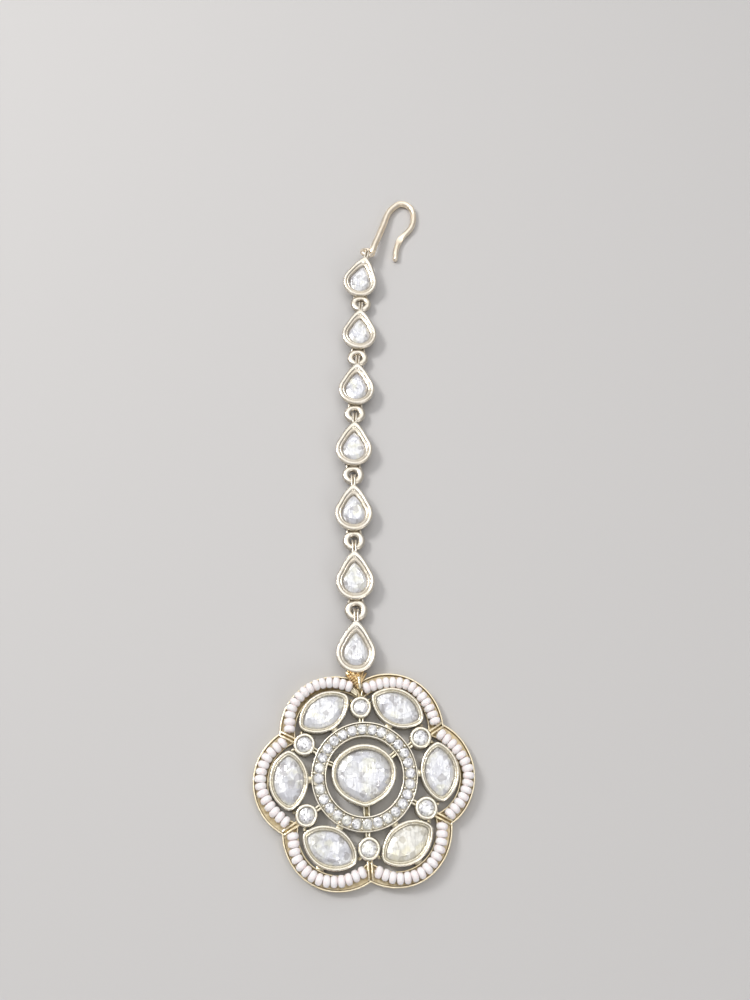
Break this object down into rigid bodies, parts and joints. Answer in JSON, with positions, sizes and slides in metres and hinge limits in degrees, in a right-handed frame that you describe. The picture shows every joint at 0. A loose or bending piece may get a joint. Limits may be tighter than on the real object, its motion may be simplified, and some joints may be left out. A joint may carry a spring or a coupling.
{
  "type": "maang tikka forehead ornament with chain and hair hook",
  "caption": "Forehead ornament lying flat: a flower pendant with foil-backed stones and seed-bead edges, on a chain of pear-shaped stone links that ends in a wire hair hook.",
  "frame": {"origin": "centre of the pendant's flat back, on the closed back of its centre cup", "axes": "+Z out of the stones' faces, away from the surface it lies on; +Y along the chain from the pendant to the hair hook; +X to the right as seen from the front"},
  "size_m": [0.0359, 0.137, 0.0038],
  "materials": {
    "gold": "polished pale gold plating",
    "crystal": "clear cut stones over crumpled silver foil",
    "pave": "small round cut stones in a pale gold setting",
    "seed_beads": "pearl-white seed beads with a faint pink tint"
  },
  "bodies": {
    "root": {"pendant_frame": "gold", "pave_ring": "pave", "bead_strand_1": "seed_beads", "bead_strand_2": "seed_beads", "bead_strand_3": "seed_beads", "bead_strand_4": "seed_beads", "bead_strand_5": "seed_beads", "bead_strand_6": "seed_beads", "marquise_stone_1": "crystal", "round_stone_1": "crystal", "marquise_stone_2": "crystal", "round_stone_2": "crystal", "marquise_stone_3": "crystal", "round_stone_3": "crystal", "marquise_stone_4": "crystal", "round_stone_4": "crystal", "marquise_stone_5": "crystal", "round_stone_5": "crystal", "marquise_stone_6": "crystal", "round_stone_6": "crystal", "centre_stone": "crystal", "chain_link_7": "gold", "drop_stone_7": "crystal", "chain_link_6": "gold", "drop_stone_6": "crystal", "chain_link_5": "gold", "drop_stone_5": "crystal", "chain_link_4": "gold", "drop_stone_4": "crystal", "chain_link_3": "gold", "drop_stone_3": "crystal", "chain_link_2": "gold", "drop_stone_2": "crystal", "chain_link_1": "gold", "drop_stone_1": "crystal", "hair_hook": "gold", "pendant_tie": "gold"}
  },
  "joints": []
}
